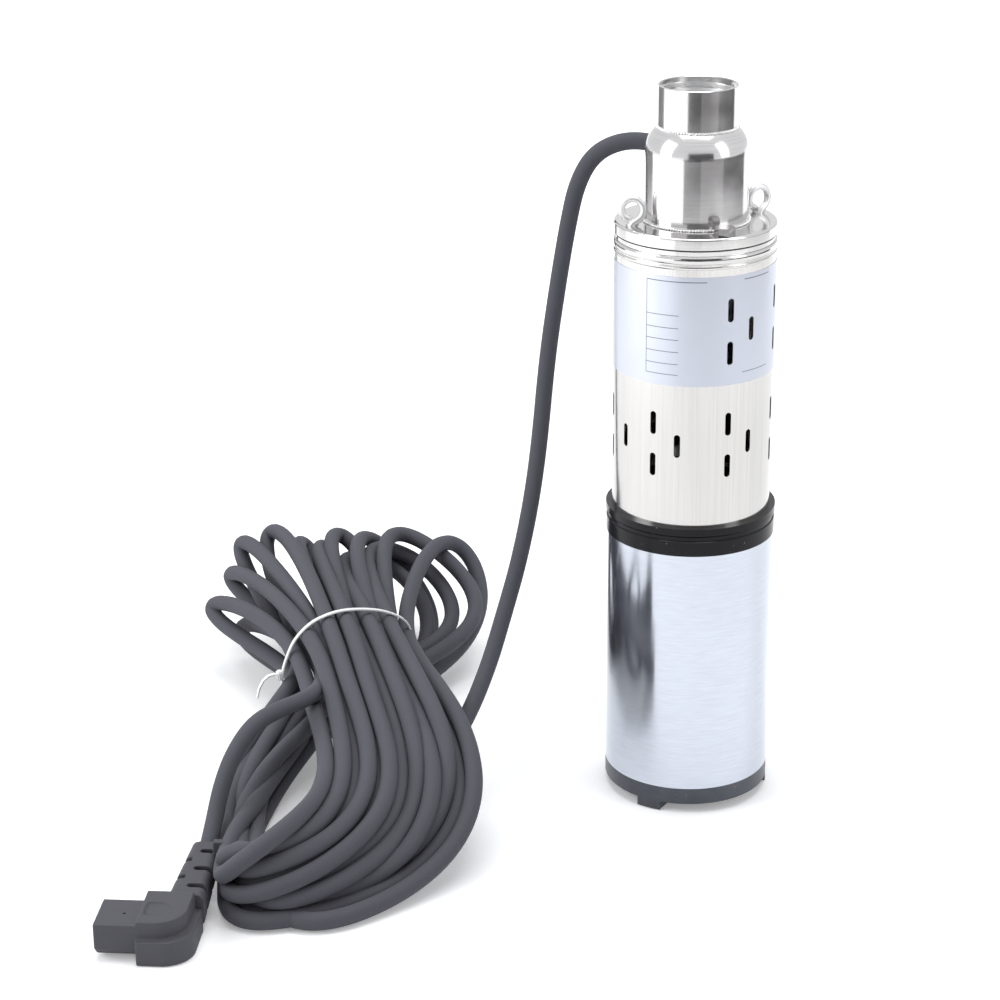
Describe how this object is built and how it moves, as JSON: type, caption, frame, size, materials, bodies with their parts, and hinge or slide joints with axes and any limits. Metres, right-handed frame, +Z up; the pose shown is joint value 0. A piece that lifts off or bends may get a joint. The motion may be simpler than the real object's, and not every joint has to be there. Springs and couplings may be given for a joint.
{
  "type": "solar submersible pump",
  "caption": "Upright submersible screw pump: polished motor tube, slotted intake tube, domed threaded outlet, lifting eyes, and a supply cord tied in a hank with an angled plug.",
  "frame": {"origin": "on the pump's axis, in the plane that the three feet stand on", "axes": "+Z up along the pump axis to the outlet; +X through the right lifting eye, -X through the left one; the hexagon bolts lie on +Y and -Y"},
  "size_m": [0.3373, 0.3325, 0.3327],
  "materials": {
    "cast_base": "rough dark paint",
    "polished_tube": "polished stainless steel",
    "seal_rubber": "matte",
    "lamination": "stacked sheet",
    "copper_winding": "enamelled copper",
    "fastener_steel": "stainless, semi-bright",
    "black_ring": "gloss black paint",
    "bearing_steel": "ground",
    "shaft_steel": "turned",
    "magnet": "nickel plated",
    "ceramic": "lapped ceramic",
    "carbon": "lapped carbon",
    "rotor_chrome": "hard chrome",
    "stator_rubber": "moulded",
    "barrel_steel": "drawn tube",
    "foil": "satin foil",
    "head_steel": "turned stainless steel",
    "brushed_head": "satin stainless steel",
    "grommet_rubber": "matte",
    "gland_plastic": "moulded",
    "cable_jacket": "matte dark grey jacket",
    "tie_plastic": "white nylon",
    "plug_plastic": "moulded, fine texture",
    "contact_brass": "stamped"
  },
  "bodies": {
    "pump_housing": {"base_casting": "cast_base", "base_o_ring": "seal_rubber", "bracket_o_ring": "seal_rubber", "cable_grommet": "grommet_rubber", "cable_hank": "cable_jacket", "cable_lead": "cable_jacket", "cable_tail": "cable_jacket", "cable_tie": "tie_plastic", "eye_bolt_left": "fastener_steel", "eye_bolt_right": "fastener_steel", "filter_tube": "polished_tube", "foil_band": "foil", "head_flange": "head_steel", "head_gasket": "seal_rubber", "hex_bolts": "fastener_steel", "inner_cable": "cable_jacket", "inner_gland": "gland_plastic", "lower_bearing_outer_race": "bearing_steel", "mid_bracket": "black_ring", "motor_studs": "fastener_steel", "motor_tube": "polished_tube", "oil_plug": "fastener_steel", "outlet_head": "brushed_head", "outlet_socket": "brushed_head", "plug_body": "plug_plastic", "plug_contacts": "contact_brass", "plug_relief": "plug_plastic", "pump_barrel": "barrel_steel", "pump_collar": "head_steel", "seal_seat": "ceramic", "stator_core": "lamination", "stator_rubber": "stator_rubber", "stator_windings": "copper_winding", "upper_bearing_outer_race": "bearing_steel"},
    "motor_rotor": {"motor_shaft": "shaft_steel", "rotor_core": "lamination", "rotor_magnets": "magnet", "lower_bearing_inner_race": "bearing_steel", "upper_bearing_inner_race": "bearing_steel", "seal_ring": "carbon", "seal_bellows": "seal_rubber", "sand_guard": "seal_rubber", "shaft_cup": "shaft_steel"},
    "coupling_rod": {"coupling_rod": "shaft_steel"},
    "screw_rotor": {"screw_rotor": "rotor_chrome", "rotor_cup": "shaft_steel"},
    "lower_balls": {"lower_bearing_balls": "bearing_steel"},
    "upper_balls": {"upper_bearing_balls": "bearing_steel"}
  },
  "joints": [
    {"name": "motor_spin", "type": "hinge", "parent": "pump_housing", "child": "motor_rotor", "pos_m": [0, 0, 0.08], "axis": [0, 0, 1], "continuous": true},
    {"name": "rod_orbit", "type": "hinge", "parent": "pump_housing", "child": "coupling_rod", "pos_m": [0, 0, 0.158], "axis": [0, 0, 1], "continuous": true},
    {"name": "rotor_spin", "type": "hinge", "parent": "coupling_rod", "child": "screw_rotor", "pos_m": [0.0032, 0, 0.23], "axis": [0, 0, 1], "continuous": true},
    {"name": "lower_cage_spin", "type": "hinge", "parent": "pump_housing", "child": "lower_balls", "pos_m": [0, 0, 0.02], "axis": [0, 0, 1], "continuous": true},
    {"name": "upper_cage_spin", "type": "hinge", "parent": "pump_housing", "child": "upper_balls", "pos_m": [0, 0, 0.1139], "axis": [0, 0, 1], "continuous": true}
  ],
  "couplings": [
    {"joint": "rod_orbit", "follows": "motor_spin", "ratio": -1},
    {"joint": "rotor_spin", "follows": "motor_spin", "ratio": 2},
    {"joint": "lower_cage_spin", "follows": "motor_spin", "ratio": 0.36818},
    {"joint": "upper_cage_spin", "follows": "motor_spin", "ratio": 0.36818}
  ]
}
